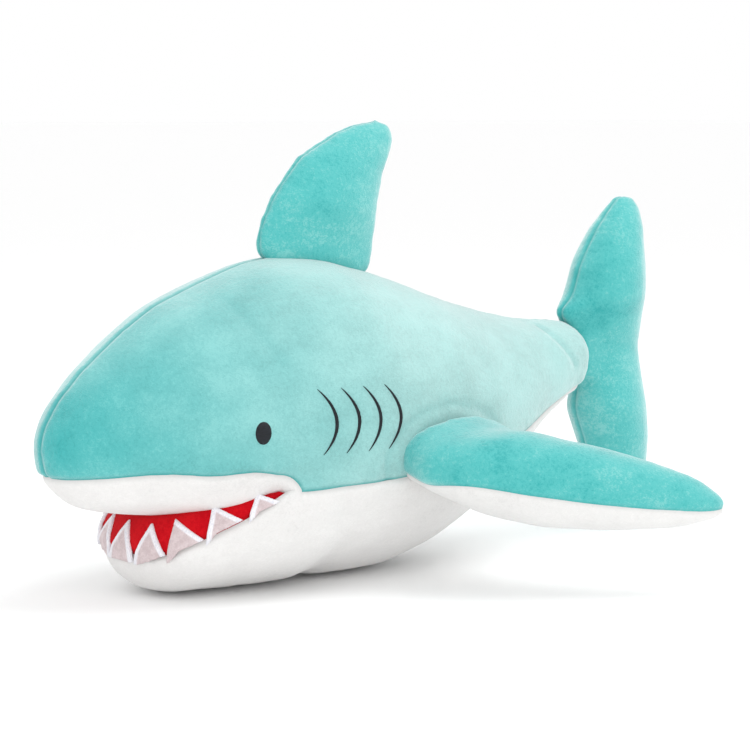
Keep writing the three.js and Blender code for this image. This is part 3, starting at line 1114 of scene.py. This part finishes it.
def make_tail_fin():
    """The two lobes are one fin. Its waist is filled out, and its front runs onto the end of the stock."""
    root = np.array(joints["tail_fin_swing"]["pos_m"], float)
    forwards = np.array([0, -1.0, 0])
    points = node_points("tail_stuffing")
    height = points[:, 2] - root[2]
    waist = abs(height) < 58 * MM
    heel = root + np.array([[5 * MM, -29 * MM, 27 * MM], [-5 * MM, -29 * MM, 27 * MM]])
    filling = joined(["tail_stuffing"])
    add_hull(filling, np.concatenate([points[waist & (height > -2 * MM)], heel]))
    add_hull(filling, points[waist & (height < 2 * MM)])
    ring = points[(abs(height) < 19 * MM) & (points[:, 1] < root[1] + 6 * MM)]
    middle = ring.mean(0)
    add_plug(filling, middle + (ring - middle) * 0.9, forwards * 12 * MM)
    panels = ["tail_left_panel", "tail_right_panel"]
    axes = (root, forwards, np.array([1.0, 0, 0]))
    make_fin("tail_fin", axes, filling, panels, "tail_stuffing", [aqua, aqua])


aqua, white = (AQUA, "aqua_plush"), (WHITE, "white_plush")
make_raised_fin(
    "dorsal_fin",
    "dorsal_fin_sway",
    ["dorsal_left_panel", "dorsal_right_panel"],
    "dorsal_stuffing",
    [aqua, aqua],
    plug=14 * MM,
)
make_tail_fin()
for side in ("left", "right"):
    make_raised_fin(
        f"{side}_pectoral_fin",
        f"{side}_pectoral_flap",
        [f"{side}_pectoral_upper_panel", f"{side}_pectoral_lower_panel"],
        f"{side}_pectoral_stuffing",
        [aqua, white],
        plug=25 * MM,
        root_dip=9 * MM,
    )
for skin in (torso_skin, under_skin):
    bpy.data.objects.remove(skin)

# Camera, floor and light

AZIMUTH, ELEVATION = math.radians(52), math.radians(6.5)
CAMERA_DISTANCE = 1.5
SENSOR, LENS = 36, 110.5  # in millimetres, as Blender has them
SHIFT = 0.006
FLOOR_SIZE = 60
low, high = cad_box
target = Vector((0, 0, low.z + 0.422 * (high.z - low.z)))


def make_camera():
    data = bpy.data.cameras.new("camera")
    data.sensor_width = SENSOR
    data.lens = LENS
    data.shift_x = SHIFT
    camera = new_object("camera", data)
    level = math.cos(ELEVATION)
    away = Vector((math.sin(AZIMUTH) * level, -math.cos(AZIMUTH) * level, math.sin(ELEVATION)))
    camera.location = target + away * CAMERA_DISTANCE
    camera.rotation_euler = away.to_track_quat("Z", "Y").to_euler()
    bpy.context.scene.camera = camera


def make_floor():
    bm = bmesh.new()
    bmesh.ops.create_grid(bm, x_segments=2, y_segments=2, size=FLOOR_SIZE)
    floor = object_from("floor", bm)
    floor.location.z = low.z - 1 * MM
    material, tree, shader = new_material("floor_paper")
    shader.inputs["Base Color"].default_value = (0.99, 0.99, 0.99, 1)
    shader.inputs["Roughness"].default_value = 0.9
    floor.data.materials.append(material)


def add_area_light(name, place, size, power):
    data = bpy.data.lights.new(name, "AREA")
    data.shape = "DISK"
    data.size = size
    data.energy = power
    light = new_object(name, data)
    light.location = place
    light.rotation_euler = (Vector(place) - target).to_track_quat("Z", "Y").to_euler()


def light_scene():
    """A white studio all round, with soft lights above, beside and low in front."""
    world = bpy.data.worlds.new("studio")
    world.use_nodes = True
    background = world.node_tree.nodes["Background"]
    background.inputs["Color"].default_value = (1, 1, 1, 1)
    background.inputs["Strength"].default_value = 1.0
    scene = bpy.context.scene
    scene.world = world
    scene.view_settings.view_transform = "Standard"
    add_area_light("top_light", (0.3, 0.5, 1.5), 1.2, 9)
    add_area_light("side_light", (1.4, -0.2, 0.9), 0.8, 1.5)
    add_area_light("low_light", (1.0, -1.0, 0.15), 0.9, 2.5)


make_camera()
make_floor()
light_scene()
